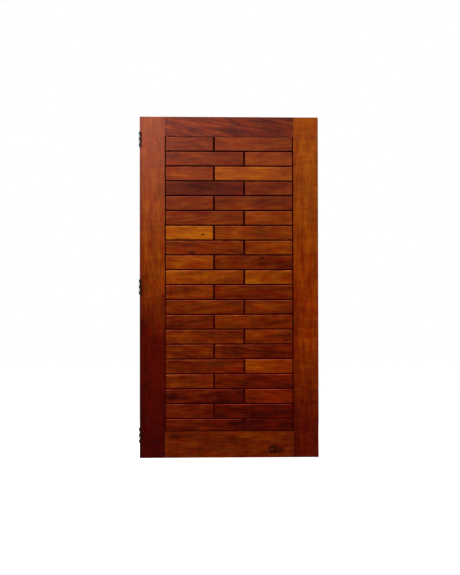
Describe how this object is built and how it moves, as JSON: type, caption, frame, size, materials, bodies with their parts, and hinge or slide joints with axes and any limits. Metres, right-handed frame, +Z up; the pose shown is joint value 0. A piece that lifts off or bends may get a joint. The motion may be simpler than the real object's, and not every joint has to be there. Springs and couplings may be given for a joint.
{
  "type": "hinged door leaf",
  "caption": "Slatted hardwood door leaf in red-brown wood, boards laid in a brick pattern inside a plain frame, hung on dark butt hinges.",
  "frame": {"origin": "on the back face of the middle hinge's jamb flap, at mid height and mid thickness of the leaf", "axes": "+X from the hinges across the leaf, +Y from the pictured face to the back, +Z up"},
  "size_m": [1.072, 0.056, 2.032],
  "materials": {
    "frame_hardwood": "satin lacquer",
    "slat_hardwood": "satin lacquer",
    "core_plywood": "dark stain",
    "dark_bronze_steel": "dark bronze, satin"
  },
  "bodies": {
    "jamb_side": {"top_hinge_jamb_flap": "dark_bronze_steel", "middle_hinge_jamb_flap": "dark_bronze_steel", "bottom_hinge_jamb_flap": "dark_bronze_steel", "top_hinge_pin": "dark_bronze_steel", "middle_hinge_pin": "dark_bronze_steel", "bottom_hinge_pin": "dark_bronze_steel"},
    "leaf": {"hinge_stile": "frame_hardwood", "closing_stile": "frame_hardwood", "top_rail": "frame_hardwood", "bottom_rail": "frame_hardwood", "core_panel": "core_plywood", "slat_row_01": "slat_hardwood", "slat_row_02": "slat_hardwood", "slat_row_03": "slat_hardwood", "slat_row_04": "slat_hardwood", "slat_row_05": "slat_hardwood", "slat_row_06": "slat_hardwood", "slat_row_07": "slat_hardwood", "slat_row_08": "slat_hardwood", "slat_row_09": "slat_hardwood", "slat_row_10": "slat_hardwood", "slat_row_11": "slat_hardwood", "slat_row_12": "slat_hardwood", "slat_row_13": "slat_hardwood", "slat_row_14": "slat_hardwood", "slat_row_15": "slat_hardwood", "slat_row_16": "slat_hardwood", "slat_row_17": "slat_hardwood", "slat_row_18": "slat_hardwood", "slat_row_19": "slat_hardwood", "slat_row_20": "slat_hardwood", "top_hinge_leaf_flap": "dark_bronze_steel", "middle_hinge_leaf_flap": "dark_bronze_steel", "bottom_hinge_leaf_flap": "dark_bronze_steel"}
  },
  "joints": [
    {"name": "leaf_swing", "type": "hinge", "parent": "jamb_side", "child": "leaf", "pos_m": [0.01, -0.0285, 0], "axis": [0, 0, -1], "range_deg": [0, 180]}
  ]
}
